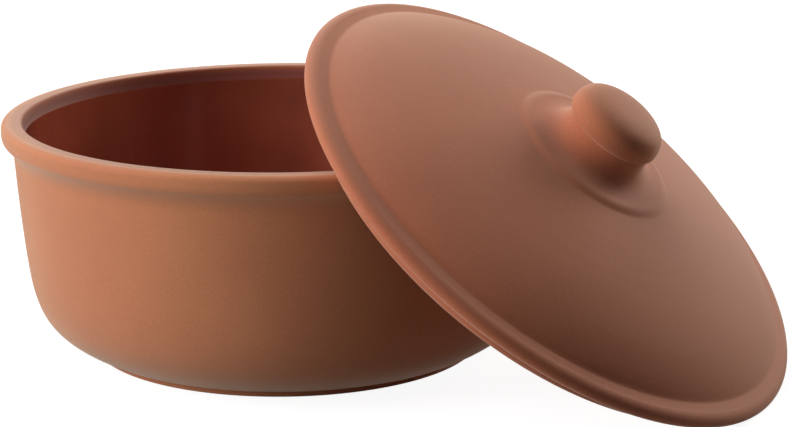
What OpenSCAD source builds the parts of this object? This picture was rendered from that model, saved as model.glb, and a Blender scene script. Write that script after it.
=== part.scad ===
// Round clay bread baker: an open pot, glazed inside, and a domed lid with a boss and a knob.
// The pot stands on z = 0 with its axis on the z axis. The lid is off: it leans on the pot's rim
// towards +x, with its lower edge on the table.

/* [Pot] */
// Height of the pot from the table to its rim
pot_h = 112.5; // [95:0.5:150]
// Diameter over the rim
rim_d = 270; // [235:1:320]
// Width of the rim between its outer face and the lid's seat
rim_w = 10; // [8:0.5:13]
// Height of the rim's band and the heel under it
rim_h = 15.5; // [12:0.5:18]
// Rounding of the rim's outer edge
rim_round = 3; // [1.5:0.25:4]
// Rounding of its inner edge, over the seat
seat_round = 1.2; // [0.5:0.1:2]
// How far the rim's band stands out from the wall
rim_proud = 5.6; // [3:0.2:7]
// Thickness of the wall
wall = 5.2; // [4:0.2:8]
// Height at which the rounded base runs into the wall
belly_h = 35; // [26:1:50]
// How much narrower the wall is at that height than under the rim, on the radius
belly_draft = 6.4; // [3:0.2:14]

/* [Foot] */
// Diameter of the foot
foot_d = 188; // [150:1:200]
// Height of the foot
foot_h = 4; // [2:0.25:6]
// Step from the foot out to the rounded base
foot_step = 4; // [1:0.25:6]
// Rounding of the foot's lower edge
foot_round = 1.2; // [0.5:0.1:1.8]

/* [Seat and glaze] */
// Depth of the bare seat inside the rim
seat_h = 5.5; // [4.5:0.25:8]
// Draft of the seat's wall
seat_draft = 0.3; // [0.1:0.05:0.8]
// Height of the sloping ledge under the seat
ledge_h = 1.2; // [0.8:0.1:3]
// Thickness of the glaze
glaze_t = 0.5; // [0.3:0.05:0.8]

/* [Lid] */
// How far the lid's edge stays inside the rim's outer face
lid_inset = 2; // [0.5:0.25:5]
// Height of the rounded edge round the lid
edge_h = 6.2; // [5:0.2:8]
// Width of the rounding along the top of that edge
bead_w = 5.6; // [4:0.2:7]
// Width of the band between the rounding and the dome
band_w = 3; // [2:0.2:5]
// How far the band rises towards the dome
band_rise = 0.7; // [0.2:0.1:1.2]
// Width of the soft step from the band up to the dome
step_w = 3.4; // [2:0.2:5]
// Height of that step
step_h = 2; // [1:0.1:3]
// Height of the dome between that step and the boss
dome_rise = 26.6; // [20:0.2:38]
// Thickness of the dome
lid_wall = 7; // [5.5:0.5:9]

/* [Locating ring] */
// Depth of the ring under the lid
ring_h = 9; // [4:0.25:11]
// Width of that ring
ring_w = 4.6; // [4:0.2:6]
// Gap between the ring and the glazed wall when the lid is on
ring_fit = 2.4; // [1.5:0.1:3.5]

/* [Boss and knob] */
// Diameter of the boss at its soft shoulder
boss_d = 76.2; // [68:0.2:92]
// Height of the boss above the dome
boss_h = 2.1; // [1.2:0.1:4]
// Width of the boss's sloping side
boss_side = 6.8; // [4:0.2:9]
// Diameter of the neck under its joint with the knob
neck_d = 40.8; // [34:0.2:46]
// Height of the flared neck on the boss
neck_h = 11.7; // [8:0.3:16]
// Diameter of the knob at that joint
knob_foot_d = 41.6; // [34:0.2:46]
// Diameter of the knob at its widest
knob_d = 45.8; // [42:0.2:54]
// Height from the joint up to the knob's widest place
knob_low = 3.1; // [2:0.1:6]
// Height from there to the knob's top
knob_top = 11.2; // [8:0.2:15]
// How far the knob is joined off the lid's axis
knob_off = 1; // [0:0.1:2]

/* [Resting place] */
// Angle between the leaning lid and the table
lean_tilt = 38.2; // [28:0.2:48]
// Gap left between the lid and what it rests on
rest_gap = 0.3; // [0.2:0.05:0.5]

/* [Hidden] */
$fn = 180;
clay = [0.76, 0.47, 0.33];
clay_light = [0.80, 0.52, 0.37];
glaze = [0.30, 0.12, 0.09];
// Parts that a curve and a rounding are cut into
curve_steps = 14;
round_steps = 6;

// Shares of the way from a curve's start to its end, across and up: the two handles between them
base_shares = [[0.67, 0.27], [0.86, 0.47]];
wall_shares = [[0.36, 0.20], [0.74, 0.61]];
heel_shares = [[0.47, 0.72], [0.93, 0.55]];
bead_shares = [[0, 0.50], [0.45, 1]];
step_shares = [[0.35, 0], [0.60, 0.47]];
dome_shares = [[0.20, 0.45], [0.57, 0.77]];
ceiling_shares = [[0.33, 0.67], [0.67, 1]];
boss_shares = [[0.36, 0.16], [0.46, 0.92]];
flare_shares = [[0.54, 0.05], [0.99, 0.22]];
belly_shares = [[0.60, 0.12], [1, 0.45]];
crown_shares = [[0, 0.72], [0.26, 1]];
// Share of the lid edge's height that its lower rounding takes
edge_share = 0.37;

rim_r = rim_d / 2;
foot_r = foot_d / 2;
wall_r = rim_r - rim_proud;
wall_top = pot_h - rim_h;
belly_r = wall_r - belly_draft;
seat_r = rim_r - rim_w;
seat_z = pot_h - seat_h;
ledge_z = seat_z - ledge_h;

function mix(a, b, k) = a + (b - a) * k;
// A curve from a to b whose handles are shares of the way across and up
function bend(a, b, shares, n) =
    let (p = [for (s = shares) [mix(a[0], b[0], s[0]), mix(a[1], b[1], s[1])]])
    [for (i = [0:n])
        let (t = i / n, u = 1 - t)
        u * u * u * a + 3 * u * u * t * p[0] + 3 * u * t * t * p[1] + t * t * t * b];
// An arc about c with radius r, from angle a to angle b
function arc(c, r, a, b, n) =
    [for (i = [0:n]) c + r * [cos(mix(a, b, i / n)), sin(mix(a, b, i / n))]];
// A curve moved sideways to its left by d
function beside(p, d) =
    [for (i = [0:len(p) - 1])
        let (a = p[max(i - 1, 0)], b = p[min(i + 1, len(p) - 1)], v = (b - a) / norm(b - a))
        p[i] + d * [-v[1], v[0]]];
function back(p) = [for (i = [len(p) - 1:-1:0]) p[i]];
function rest(p) = [for (i = [1:len(p) - 1]) p[i]];
function last(p) = p[len(p) - 1];

// The pot's outside, from the foot's step up to the rim's band
base_start = [foot_r + foot_step, foot_h];
base_end = [belly_r, belly_h];
wall_end = [wall_r, wall_top];
band_start = [rim_r, pot_h - rim_round * 2];
pot_side = concat(
    bend(base_start, base_end, base_shares, curve_steps),
    rest(bend(base_end, wall_end, wall_shares, curve_steps)));
pot_heel = rest(bend(wall_end, band_start, heel_shares, curve_steps));
// The pot's inside, a wall's thickness in from there, with a flat floor and the glaze's own face
pot_inside = beside(pot_side, wall);
glaze_inside = beside(pot_side, wall + glaze_t);
lining = concat([[0, pot_inside[0][1]]], pot_inside, [[last(pot_inside)[0], ledge_z]]);
lining_face = concat([[0, glaze_inside[0][1]]], glaze_inside, [[last(glaze_inside)[0], ledge_z]]);

module pot_body() {
    color(clay) rotate_extrude() polygon(concat(
        [[0, 0]],
        arc([foot_r - foot_round, foot_round], foot_round, -90, 0, round_steps),
        [[foot_r, foot_h]],
        pot_side,
        pot_heel,
        arc([rim_r - rim_round, pot_h - rim_round], rim_round, 0, 90, round_steps),
        arc([seat_r + seat_round, pot_h - seat_round], seat_round, 90, 180, round_steps),
        [[seat_r - seat_draft, seat_z]],
        back(lining)
    ));
}

module pot_glaze() {
    color(glaze) rotate_extrude() polygon(concat(lining, back(lining_face)));
}

// The lid's section, with its underside on z = 0 and its own axis on the z axis
lid_r = rim_r - lid_inset;
edge_round = edge_h * edge_share;
bead_end = [lid_r - bead_w, edge_h];
band_end = bead_end + [-band_w, band_rise];
dome_start = band_end + [-step_w, step_h];
boss_r = boss_d / 2;
boss_start = [boss_r + boss_side / 2, dome_start[1] + dome_rise];
boss_end = boss_start + [-boss_side, boss_h];
neck_r = neck_d / 2;
neck_z = boss_end[1] + neck_h;
knob_foot = [knob_foot_d / 2, neck_z];
knob_wide = [knob_d / 2, neck_z + knob_low];
dome = bend(dome_start, boss_start, dome_shares, curve_steps);
// The dome's inside runs on from its own slope to the lid's axis
dome_inside = beside(dome, lid_wall);
ceiling_edge = last(dome_inside);
ceiling_fall = dome_inside[curve_steps - 1] - ceiling_edge;
ceiling_top = [0, ceiling_edge[1] - ceiling_edge[0] * ceiling_fall[1] / ceiling_fall[0] / 2];
ring_out = last(glaze_inside)[0] - ring_fit;
ring_in = ring_out - ring_w;
ring_tip = ring_w / 2;
ceiling = concat(
    back(bend(ceiling_edge, ceiling_top, ceiling_shares, round_steps)),
    rest(back(dome_inside)));

module lid_section() {
    polygon(concat(
        ceiling,
        [[ring_in, 0]],
        arc([ring_in + ring_tip, ring_tip - ring_h], ring_tip, 180, 360, round_steps * 2),
        [[ring_out, 0]],
        arc([lid_r - edge_round, edge_round], edge_round, -90, 0, round_steps),
        rest(bend([lid_r, edge_round], bead_end, bead_shares, curve_steps)),
        bend(band_end, dome_start, step_shares, round_steps),
        rest(dome),
        rest(bend(boss_start, boss_end, boss_shares, curve_steps)),
        rest(bend(boss_end, [neck_r, neck_z], flare_shares, curve_steps)),
        [[0, neck_z]]
    ));
}

module knob_section() {
    polygon(concat(
        [[0, neck_z]],
        bend(knob_foot, knob_wide, belly_shares, round_steps),
        rest(bend(knob_wide, [0, knob_wide[1] + knob_top], crown_shares, curve_steps))
    ));
}

// How the lid lies: its underside's centre is at [lean_x, 0, lean_z] and its axis leans over by
// lean_tilt. The height follows from the rounded edge on the table.
lean_z = rest_gap + edge_round + (lid_r - edge_round) * sin(lean_tilt) - edge_round * cos(lean_tilt);
// A point of the lid at radius r, height s and angle a round the lid, when the lid's centre is at x
function lid_point(x, r, s, a) = [
    x + s * sin(lean_tilt) + r * cos(a) * cos(lean_tilt),
    r * sin(a),
    lean_z + s * cos(lean_tilt) - r * cos(a) * sin(lean_tilt)];
// Distance of a point from the rounded block that the rim's section is
function off_rim(p) =
    let (r = norm([p[0], p[1]]),
        qx = abs(r - rim_r + rim_w / 2) - rim_w / 2 + rim_round,
        qz = abs(p[2] - pot_h + rim_h / 2) - rim_h / 2 + rim_round)
    norm([max(qx, 0), max(qz, 0)]) + min(max(qx, qz), 0) - rim_round;
// Rings of the lid that may touch the rim: radius, height and rounding of each
feelers = concat(
    [[ring_in + ring_tip, ring_tip - ring_h, ring_tip], [lid_r - edge_round, edge_round, edge_round]],
    [for (c = ceiling) [c[0], c[1], 0]]);
// Angles tried round the lid, and how the search for its place runs
turns = [for (a = [90:180]) a];
far_share = 1.7;
paces = 30;
halvings = 20;
// Least gap between the lid and the pot's rim with the lid's centre at x
function gap_at(x) =
    min([for (c = feelers, a = turns) off_rim(lid_point(x, c[0], c[1], a)) - c[2]]);
// Steps inwards from far off until the lid touches, then halves the last step
function touch(x, pace) = gap_at(x) < rest_gap ? x : touch(x - pace, pace);
function settle(near, far, n) =
    let (m = (near + far) / 2)
    n == 0 ? far : gap_at(m) < rest_gap ? settle(m, far, n - 1) : settle(near, m, n - 1);
pace = rim_r / paces;
first_touch = touch(rim_r * far_share, pace);
lean_x = settle(first_touch, first_touch + pace, halvings);

module leaning() {
    translate([lean_x, 0, lean_z]) rotate([0, lean_tilt, 0]) children();
}

module lid_shell() {
    color(clay_light) leaning() rotate_extrude() lid_section();
}

module lid_knob() {
    color(clay) leaning() translate([-knob_off, 0, 0]) rotate_extrude() knob_section();
}

pot_body();
pot_glaze();
lid_shell();
lid_knob();
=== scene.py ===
from math import cos, pi, radians, sin

import bmesh
import bpy
from mathutils import Matrix, Vector


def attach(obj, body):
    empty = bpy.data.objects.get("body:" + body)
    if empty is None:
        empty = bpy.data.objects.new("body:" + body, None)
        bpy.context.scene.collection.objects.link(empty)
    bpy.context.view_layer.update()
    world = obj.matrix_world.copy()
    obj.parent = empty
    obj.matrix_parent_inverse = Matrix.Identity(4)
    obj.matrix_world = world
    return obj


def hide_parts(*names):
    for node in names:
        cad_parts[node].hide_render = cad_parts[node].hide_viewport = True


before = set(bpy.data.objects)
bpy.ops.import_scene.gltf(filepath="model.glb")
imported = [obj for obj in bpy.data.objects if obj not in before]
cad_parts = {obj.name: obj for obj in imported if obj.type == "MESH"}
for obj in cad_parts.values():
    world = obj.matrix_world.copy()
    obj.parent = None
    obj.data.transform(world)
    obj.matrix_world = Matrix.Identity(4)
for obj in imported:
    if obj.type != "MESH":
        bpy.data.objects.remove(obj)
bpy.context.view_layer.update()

# Pot
# Red earthenware, thrown on the wheel, turned when it is leather-hard and fired bare outside. A rounded
# base swells into a nearly upright wall, and the rolled rim is cut back inside as the lid's seat.
mm = 0.001
rim_radius = 135 * mm
rim_width = 10 * mm
rim_roll = 3 * mm
pot_height = 112.5 * mm
heel_height = 15.5 * mm
wall_inset = 5.6 * mm
wall_radius = rim_radius - wall_inset
wall_thickness = 5.2 * mm
belly_inset = 6.4 * mm
belly_height = 35 * mm
foot_radius = 94 * mm
foot_height = 4 * mm
foot_step = 4 * mm
foot_edge = 1.2 * mm
seat_radius = rim_radius - rim_width
seat_round = 1.2 * mm
seat_draft = 0.3 * mm
seat_depth = 5.5 * mm
seat_height = pot_height - seat_depth
ledge_drop = 1.2 * mm
ledge_height = seat_height - ledge_drop


def swept_curve(start, shares, end, steps):
    """Points of a profile from start to end, drawn towards two points. Each of those is given by its
    share of the way across and its share of the way up."""
    first, second = [tuple(a + (b - a) * share for a, b, share in zip(start, end, pair))
                     for pair in shares]
    points = []
    for i in range(steps + 1):
        t = i / steps
        u = 1 - t
        points.append(tuple(
            u ** 3 * a + 3 * u * u * t * p + 3 * u * t * t * q + t ** 3 * b
            for a, p, q, b in zip(start, first, second, end)))
    return points


def rounded(centre, radius, first, last, steps):
    """Points of a profile's rounding about a centre, from one angle to another in degrees."""
    angles = [radians(first + (last - first) * i / steps) for i in range(steps + 1)]
    return [(centre[0] + radius * cos(a), centre[1] + radius * sin(a)) for a in angles]


def set_in(profile, depth):
    """The same profile moved to its left by a wall's thickness."""
    moved = []
    for i, (r, z) in enumerate(profile):
        ahead = profile[min(i + 1, len(profile) - 1)]
        behind = profile[max(i - 1, 0)]
        along = Vector((ahead[0] - behind[0], ahead[1] - behind[1])).normalized()
        moved.append((r - along.y * depth, z + along.x * depth))
    return moved


wheel_steps = 256
weld_distance = 0.01 * mm
sliver_size = 0.001 * mm
sharp_angle = radians(40)


def thrown(name, profile):
    """A round piece, its profile spun about the upright axis, with its poles closed and its faces
    outwards."""
    clay = bmesh.new()
    line = [clay.verts.new((r, 0, z)) for r, z in profile]
    edges = [clay.edges.new(pair) for pair in zip(line, line[1:])]
    bmesh.ops.spin(clay, geom=line + edges, axis=(0, 0, 1), cent=(0, 0, 0), angle=2 * pi,
                   steps=wheel_steps, use_merge=True)
    bmesh.ops.remove_doubles(clay, verts=clay.verts, dist=weld_distance)
    bmesh.ops.dissolve_degenerate(clay, edges=clay.edges, dist=sliver_size)
    bmesh.ops.recalc_face_normals(clay, faces=clay.faces)
    for face in clay.faces:
        face.smooth = True
    for edge in clay.edges:
        edge.smooth = edge.is_manifold and edge.calc_face_angle() < sharp_angle
    mesh = bpy.data.meshes.new(name)
    clay.to_mesh(mesh)
    clay.free()
    piece = bpy.data.objects.new(name, mesh)
    bpy.context.scene.collection.objects.link(piece)
    return piece


foot_corner = (foot_radius + foot_step, foot_height)
belly = (wall_radius - belly_inset, belly_height)
wall_top = (wall_radius, pot_height - heel_height)
rim_start = (rim_radius, pot_height - 2 * rim_roll)
base_shares = (0.67, 0.27), (0.86, 0.47)
wall_shares = (0.36, 0.20), (0.74, 0.61)
heel_shares = (0.47, 0.72), (0.93, 0.55)
base_steps, wall_steps, heel_steps = 24, 30, 16
roll_steps, round_steps, edge_steps = 10, 8, 6

base_line = swept_curve(foot_corner, base_shares, belly, base_steps)
wall_line = swept_curve(belly, wall_shares, wall_top, wall_steps)
heel_line = swept_curve(wall_top, heel_shares, rim_start, heel_steps)
side_line = base_line + wall_line[1:]
inner_line = set_in(side_line, wall_thickness)
floor_middle = (0, inner_line[0][1])
ledge_edge = (inner_line[-1][0], ledge_height)

foot_line = rounded((foot_radius - foot_edge, foot_edge), foot_edge, -90, 0, edge_steps)
rim_line = (rounded((rim_radius - rim_roll, pot_height - rim_roll), rim_roll, 0, 90, roll_steps)
            + rounded((seat_radius + seat_round, pot_height - seat_round), seat_round, 90, 180,
                      round_steps))
seat_corner = (seat_radius - seat_draft, seat_height)
pot = thrown("pot", [(0, 0)] + foot_line + [(foot_radius, foot_height)] + side_line + heel_line[1:]
             + rim_line + [seat_corner, ledge_edge] + inner_line[::-1] + [floor_middle])
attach(pot, "pot")
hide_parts("pot_body")


def new_material(name):
    """A material, its node tree and its shader."""
    material = bpy.data.materials.new(name)
    material.use_nodes = True
    return material, material.node_tree, material.node_tree.nodes["Principled BSDF"]


def feed(tree, node, sockets):
    """Gives a node's sockets, by name or number, either a value or another node's output."""
    for socket, value in sockets.items():
        if isinstance(value, bpy.types.NodeSocket):
            tree.links.new(value, node.inputs[socket])
        else:
            node.inputs[socket].default_value = value


def shader_node(tree, kind, sockets=None, **settings):
    """A new node of a material, with its settings made and its sockets fed."""
    node = tree.nodes.new("ShaderNode" + kind)
    for setting, choice in settings.items():
        setattr(node, setting, choice)
    feed(tree, node, sockets or {})
    return node


def noise(tree, place, scale, detail, roughness=0.5):
    """Soft random mottling from 0 to 1, its scale in waves to the metre."""
    return shader_node(tree, "TexNoise", {"Vector": place, "Scale": scale, "Detail": detail,
                                          "Roughness": roughness}).outputs["Fac"]


def spread(tree, value, old=(0, 1), new=(0, 1)):
    """A value carried from its old range to a new one, and held at the new one's ends."""
    return shader_node(tree, "MapRange", {"Value": value, "From Min": old[0], "From Max": old[1],
                                          "To Min": new[0], "To Max": new[1]}).outputs["Result"]


def two_tone(tree, mottling, dark, light, stops):
    """A colour that turns from dark to light as a mottling passes from one stop to the other."""
    tone = shader_node(tree, "ValToRGB", {"Fac": mottling})
    for end, stop, colour in zip(tone.color_ramp.elements, stops, (dark, light)):
        end.position = stop
        end.color = (*colour, 1)
    return tone.outputs["Color"]


# A Mix node's colour sockets go by number, because its other kinds use the same names.
first_colour, second_colour, mixed_colour = 6, 7, 2


def mixed(tree, amount, under, over, blend="MIX"):
    """One colour laid over another, by an amount from 0 to 1."""
    return shader_node(tree, "Mix", {"Factor": amount, first_colour: under, second_colour: over},
                       data_type="RGBA", blend_type=blend).outputs[mixed_colour]


def reckon(tree, operation, *terms, **settings):
    """What one Math node makes of its two or three terms."""
    return shader_node(tree, "Math", dict(enumerate(terms)), operation=operation,
                       **settings).outputs["Value"]


def bump(tree, height, strength, depth, under=None):
    """The normal of a bump that is as high as a pattern's value says, laid over the one under it."""
    sockets = {"Height": height, "Strength": strength, "Distance": depth}
    if under is not None:
        sockets["Normal"] = under
    return shader_node(tree, "Bump", sockets).outputs["Normal"]


# The seat's dark mark is partly a glaze stain and partly painted shade: darkest in the recess at the ledge,
# thinning up the seat to a faint darkening of the rim's top.
stain_and_shade_colour = (0.24, 0.050, 0.038, 1)
stain_and_shade_deep = 4.4 * mm
stain_and_shade_out = 13.5 * mm
stain_and_shade_lap = 0.12 * mm
stain_and_shade_slope = 2
stain_and_shade_shares = (0.05, 0.9), (0.11, 0.75), (0.17, 0.5), (0.22, 0.4), (0.75, 0.4)
full_stain_and_shade, no_stain_and_shade = (1, 1, 1, 1), (0, 0, 0, 1)


def seat_stain_and_shade(tree, place):
    """How strong the seat's dark mark is, partly a glaze stain and partly painted shade, darkest in the
    recess: full on the ledge and low on the seat, thinner over the seat's upper edge, even and faint on
    the rim's top and gone before its outer side. The way out counts more than the way up, by the mark's
    slope."""
    apart = shader_node(tree, "SeparateXYZ", {"Vector": place}).outputs
    flat = shader_node(tree, "CombineXYZ", {"X": apart["X"], "Y": apart["Y"]}).outputs["Vector"]
    radius = shader_node(tree, "VectorMath", {0: flat}, operation="LENGTH").outputs["Value"]
    outward = reckon(tree, "MULTIPLY_ADD", radius, stain_and_shade_slope, apart["Z"])
    seat_edge = stain_and_shade_slope * seat_radius + pot_height
    way_out = spread(tree, outward, old=(seat_edge - stain_and_shade_deep, seat_edge + stain_and_shade_out))
    thinning = shader_node(tree, "ValToRGB", {"Fac": way_out})
    stops = thinning.color_ramp.elements
    stops[0].color = full_stain_and_shade
    stops[1].color = no_stain_and_shade
    for share, strength in stain_and_shade_shares:
        stops.new(share).color = (strength, strength, strength, 1)
    above_ledge = reckon(tree, "GREATER_THAN", apart["Z"], ledge_height - stain_and_shade_lap)
    return reckon(tree, "MULTIPLY", thinning.outputs["Color"], above_ledge)


clay_roughness = 0.62
stained_roughness = 0.5
turning_stretch = (0.12, 0.12, 9)
turning_depth = 0.4 * mm
grain_depth = 0.2 * mm


def terracotta(name, tint, shade, tilt=0.0, centre=(0, 0, 0), stained_and_shaded=False):
    """Bare fired earthenware: cloudy firing colour, grain, faint turning lines round the piece's own
    axis, and, where asked, a dark mark on the seat and the rim that is partly a glaze stain and partly
    painted shade."""
    material, tree, clay = new_material(name)
    feed(tree, clay, {"Roughness": clay_roughness, "Specular IOR Level": 0.12, "Sheen Weight": 0.42,
                      "Sheen Tint": (0.95, 1, 0.84, 1), "Sheen Roughness": 0.6})
    place = shader_node(tree, "TexCoord").outputs["Object"]
    turned = shader_node(tree, "Mapping", {"Vector": place, "Location": centre, "Rotation": (0, tilt, 0)},
                         vector_type="TEXTURE").outputs["Vector"]
    cloud = noise(tree, turned, scale=9, detail=4, roughness=0.55)
    grain = noise(tree, turned, scale=900, detail=3, roughness=0.6)
    firing = two_tone(tree, cloud, shade, tint, stops=(0.3, 0.7))
    speckle = spread(tree, grain, old=(0.3, 0.7), new=(0.93, 1.06))
    colour = mixed(tree, 1, firing, speckle, blend="MULTIPLY")
    if stained_and_shaded:
        # The seat's glaze stain with painted shade, darkest in the recess at the ledge and faint on the
        # rim's top.
        stain_and_shade = seat_stain_and_shade(tree, place)
        colour = mixed(tree, stain_and_shade, colour, stain_and_shade_colour)
        smoother = spread(tree, stain_and_shade, new=(clay_roughness, stained_roughness))
        feed(tree, clay, {"Roughness": smoother})
    drawn_out = shader_node(tree, "Mapping", {"Vector": turned, "Scale": turning_stretch})
    lines = noise(tree, drawn_out.outputs["Vector"], scale=55, detail=3, roughness=0.6)
    turning = bump(tree, lines, strength=0.25, depth=turning_depth)
    surface = bump(tree, grain, strength=0.2, depth=grain_depth, under=turning)
    feed(tree, clay, {"Base Color": colour, "Normal": surface})
    return material


pot_tint = (0.65, 0.232, 0.098)
pot_shade = (0.56, 0.173, 0.073)
# The pot's clay carries the seat's glaze stain and its painted shade.
pot.data.materials.append(terracotta("pot_clay", pot_tint, pot_shade, stained_and_shaded=True))

# Glaze
# A dark red-brown glaze, poured into the pot and out again before firing. It melts to a glossy skin
# from the seat's ledge down over the floor, and never lies quite flat.
glaze_thickness = 0.5 * mm
ripple_depth = 0.6 * mm
glaze_dark = (0.22, 0.058, 0.038)
glaze_light = (0.45, 0.118, 0.063)

lining_line = set_in(side_line, wall_thickness + glaze_thickness)
lining_radius = lining_line[-1][0]
glaze = thrown("inside_glaze", [floor_middle] + inner_line + [ledge_edge, (lining_radius, ledge_height)]
               + lining_line[::-1] + [(0, lining_line[0][1])])
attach(glaze, "pot")
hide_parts("pot_glaze")


def red_brown_glaze():
    """Glossy glass over iron-red clay, darker in cloudy patches, with a fine ripple."""
    material, tree, glass = new_material("red_brown_glaze")
    place = shader_node(tree, "TexCoord").outputs["Object"]
    patches = noise(tree, place, scale=14, detail=6)
    ripple = noise(tree, place, scale=60, detail=3)
    colour = two_tone(tree, patches, glaze_dark, glaze_light, stops=(0.3, 0.72))
    surface = bump(tree, ripple, strength=0.3, depth=ripple_depth)
    feed(tree, glass, {"Base Color": colour, "Normal": surface, "Roughness": 0.12,
                       "Coat Weight": 1, "Coat Roughness": 0.03})
    return material


glaze.data.materials.append(red_brown_glaze())

# Lid
# The same clay, thrown as a shallow dome and turned: a beaded edge, a narrow band, a soft shoulder and
# the dome, up to a raised boss with a flared neck. A ring under it drops into the pot. It leans on the rim.
lid_inset = 2 * mm
lid_radius = rim_radius - lid_inset
edge_height = 6.2 * mm
edge_round_share = 0.37
edge_round = edge_height * edge_round_share
bead_width = 5.6 * mm
band_width = 3 * mm
band_rise = 0.7 * mm
shoulder_width = 3.4 * mm
shoulder_rise = 2 * mm
dome_rise = 26.6 * mm
dome_thickness = 7 * mm
boss_radius = 41.5 * mm
boss_side = 6.8 * mm
boss_height = 2.1 * mm
neck_radius = 20.4 * mm
neck_height = 11.7 * mm
ring_gap = 2.4 * mm
ring_radius = lining_radius - ring_gap
ring_width = 4.6 * mm
ring_round = ring_width / 2
ring_depth = 9 * mm

edge_start = (lid_radius, edge_round)
bead_end = (lid_radius - bead_width, edge_height)
band_end = (bead_end[0] - band_width, bead_end[1] + band_rise)
dome_start = (band_end[0] - shoulder_width, band_end[1] + shoulder_rise)
boss_start = (boss_radius, dome_start[1] + dome_rise)
boss_end = (boss_radius - boss_side, boss_start[1] + boss_height)
neck_top = (neck_radius, boss_end[1] + neck_height)
bead_shares = (0, 0.50), (0.45, 1)
shoulder_shares = (0.35, 0), (0.60, 0.47)
dome_shares = (0.20, 0.45), (0.57, 0.77)
boss_shares = (0.36, 0.16), (0.46, 0.92)
neck_shares = (0.54, 0.05), (0.99, 0.22)
ceiling_shares = (0.33, 0.67), (0.67, 1)
bead_steps, shoulder_steps, dome_steps, boss_steps, neck_steps = 24, 12, 60, 24, 32
ceiling_steps, ring_steps, under_steps = 24, 14, 8

bead_line = swept_curve(edge_start, bead_shares, bead_end, bead_steps)
shoulder_line = swept_curve(band_end, shoulder_shares, dome_start, shoulder_steps)
dome_line = swept_curve(dome_start, dome_shares, boss_start, dome_steps)
boss_line = swept_curve(boss_start, boss_shares, boss_end, boss_steps)
neck_line = swept_curve(boss_end, neck_shares, neck_top, neck_steps)
outside_line = bead_line[1:] + shoulder_line + dome_line[1:] + boss_line[1:] + neck_line[1:]

# Under the boss, the dome's inside goes on at the slope that it has there, and levels out at the middle.
hollow_line = set_in(dome_line, dome_thickness)
hollow_head = hollow_line[-1]
fall_out, fall_up = (a - b for a, b in zip(hollow_line[-2], hollow_head))
ceiling_top = (0, hollow_head[1] - hollow_head[0] * fall_up / fall_out / 2)
ceiling_line = swept_curve(hollow_head, ceiling_shares, ceiling_top, ceiling_steps)
inside_line = ceiling_line[::-1] + hollow_line[-2::-1]
ring_foot = rounded((ring_radius - ring_round, ring_round - ring_depth), ring_round, 180, 360, ring_steps)
ring_line = [(ring_radius - ring_width, 0)] + ring_foot + [(ring_radius, 0)]
under_line = rounded((lid_radius - edge_round, edge_round), edge_round, -90, 0, under_steps)

lid = thrown("lid", inside_line + ring_line + under_line + outside_line + [(0, neck_top[1])])

lean_angle = radians(38.2)
lean_place = Vector((140.65 * mm, 0, 81.62 * mm))


def lean(piece):
    """Lays a piece of the lid against the pot, its place kept in its mesh."""
    piece.data.transform(Matrix.Translation(lean_place) @ Matrix.Rotation(lean_angle, 4, "Y"))


lid_tint = (0.62, 0.184, 0.084)
lid_shade = (0.53, 0.141, 0.063)
lean(lid)
lid.data.materials.append(terracotta("lid_clay", lid_tint, lid_shade, lean_angle, lean_place))
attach(lid, "lid")
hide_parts("lid_shell")

# Knob
# The knob is thrown by itself, a flattened ball of the same clay, and joined to the neck with slip, a
# little off the lid's axis. The joint is left as a fine seam under the knob.
knob_off = 1 * mm
knob_foot_radius = 20.8 * mm
knob_radius = 22.9 * mm
knob_swell = 3.1 * mm
knob_dome = 11.2 * mm
knob_foot = (knob_foot_radius, neck_top[1])
knob_widest = (knob_radius, neck_top[1] + knob_swell)
knob_top = (0, knob_widest[1] + knob_dome)
swell_shares = (0.60, 0.12), (1, 0.45)
crown_shares = (0, 0.72), (0.26, 1)
swell_steps, crown_steps = 12, 40

swell_line = swept_curve(knob_foot, swell_shares, knob_widest, swell_steps)
crown_line = swept_curve(knob_widest, crown_shares, knob_top, crown_steps)
knob = thrown("knob", [(0, neck_top[1])] + swell_line + crown_line[1:])
knob.data.transform(Matrix.Translation((-knob_off, 0, 0)))
lean(knob)

knob_tint = (0.64, 0.200, 0.089)
knob_shade = (0.54, 0.155, 0.067)
knob.data.materials.append(terracotta("knob_clay", knob_tint, knob_shade, lean_angle, lean_place))
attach(knob, "lid")
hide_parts("lid_knob")

# Studio
# A matt white board that runs out of sight, under a white surround. Both show as plain white, in
# reflections too, but add no soft light to the clay, and the board keeps the object's shadow.
floor_radius = 6000 * mm
floor_sides = 64
floor_drop = 0.05 * mm
floor_glow = 0.92
board_colour = (0.28, 0.28, 0.28, 1)
white = (1, 1, 1, 1)

floor_data = bmesh.new()
bmesh.ops.create_circle(floor_data, cap_ends=True, segments=floor_sides, radius=floor_radius,
                        matrix=Matrix.Translation((0, 0, -floor_drop)))
floor_mesh = bpy.data.meshes.new("floor")
floor_data.to_mesh(floor_mesh)
floor_data.free()
floor = bpy.data.objects.new("floor", floor_mesh)
bpy.context.scene.collection.objects.link(floor)


def background_only(tree):
    """A socket that is 1 for rays that show the background, and 0 for the light that it would cast."""
    ray = shader_node(tree, "LightPath").outputs
    mirrored = reckon(tree, "ADD", ray["Is Camera Ray"], ray["Is Glossy Ray"])
    return reckon(tree, "ADD", mirrored, ray["Is Transmission Ray"], use_clamp=True)


def pale_floor():
    """Matt white board, shown as plain white where the object leaves no shadow."""
    material, tree, board = new_material("pale_floor")
    glow = reckon(tree, "MULTIPLY", background_only(tree), floor_glow)
    feed(tree, board, {"Base Color": board_colour, "Roughness": 1, "Specular IOR Level": 0,
                       "Emission Color": white, "Emission Strength": glow})
    return material


floor_mesh.materials.append(pale_floor())

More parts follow.
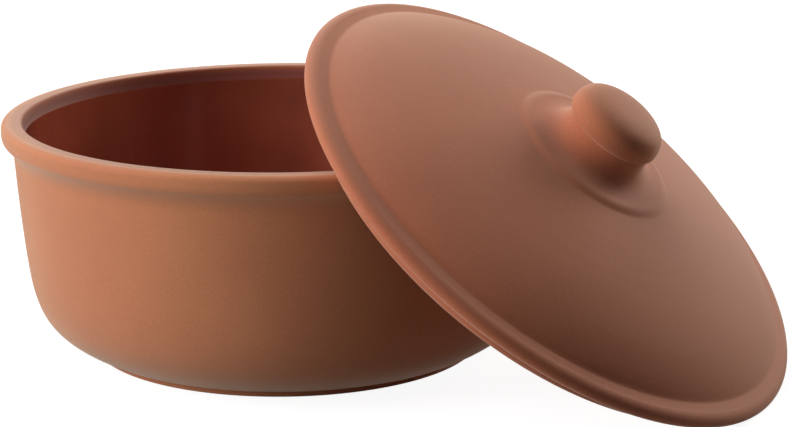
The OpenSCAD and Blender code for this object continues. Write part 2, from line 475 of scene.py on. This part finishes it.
world = bpy.data.worlds.new("studio")
bpy.context.scene.world = world
world.use_nodes = True
surround = world.node_tree
feed(surround, surround.nodes["Background"], {"Color": white, "Strength": background_only(surround)})

# Camera
# The photograph was taken from the pot's open side, from about 1.2 m away and 14 degrees above it. The
# camera's angles, place and lens follow from the outlines of the pot and the lid.
photo_width = 790
focal_pixels = 2518.4
sensor_width = 36
turn = radians(28.35)
pitch = radians(13.98)
roll = -0.0022
stand_off = Vector((52.9 * mm, -1185.8 * mm, 358.0 * mm))

camera_data = bpy.data.cameras.new("camera")
camera_data.sensor_width = sensor_width
camera_data.lens = sensor_width * focal_pixels / photo_width
camera = bpy.data.objects.new("camera", camera_data)
camera.matrix_world = (Matrix.Rotation(turn, 4, "Z") @ Matrix.Translation(stand_off)
                       @ Matrix.Rotation(pi / 2 - pitch, 4, "X") @ Matrix.Rotation(roll, 4, "Z"))
bpy.context.scene.collection.objects.link(camera)
bpy.context.scene.camera = camera

# Lights
# Soft boxes stand round the table, and their places, in metres, turn with the camera: two at the left,
# one above, a slightly warm one at the right behind the lid, and a weak one behind the pot.
middle = Vector((0.05, 0, 0.08))
camera_side = Matrix.Rotation(turn, 3, "Z")


def soft_light(name, place, size, power, tone=(1, 1, 1)):
    """A square soft box that faces the middle of the object, its power in watts."""
    lamp = bpy.data.lights.new(name, "AREA")
    lamp.size = size
    lamp.energy = power
    lamp.color = tone
    light = bpy.data.objects.new(name, lamp)
    light.location = camera_side @ Vector(place)
    light.rotation_euler = (middle - light.location).to_track_quat("-Z", "Y").to_euler()
    bpy.context.scene.collection.objects.link(light)


soft_light("left_low_box", (-1.39, -0.56, 0.45), size=0.9, power=14)
soft_light("left_high_box", (-1.25, -0.3, 1.1), size=0.9, power=10.5)
soft_light("top_box", (-0.2, 0.4, 1.65), size=1.2, power=9.5)
soft_light("right_box", (1.42, 1.1, 0.72), size=0.9, power=17.5, tone=(1, 0.86, 0.78))
soft_light("back_box", (-0.4, 1.5, 1.0), size=1.0, power=3.5)

bpy.context.scene.view_settings.view_transform = "Standard"
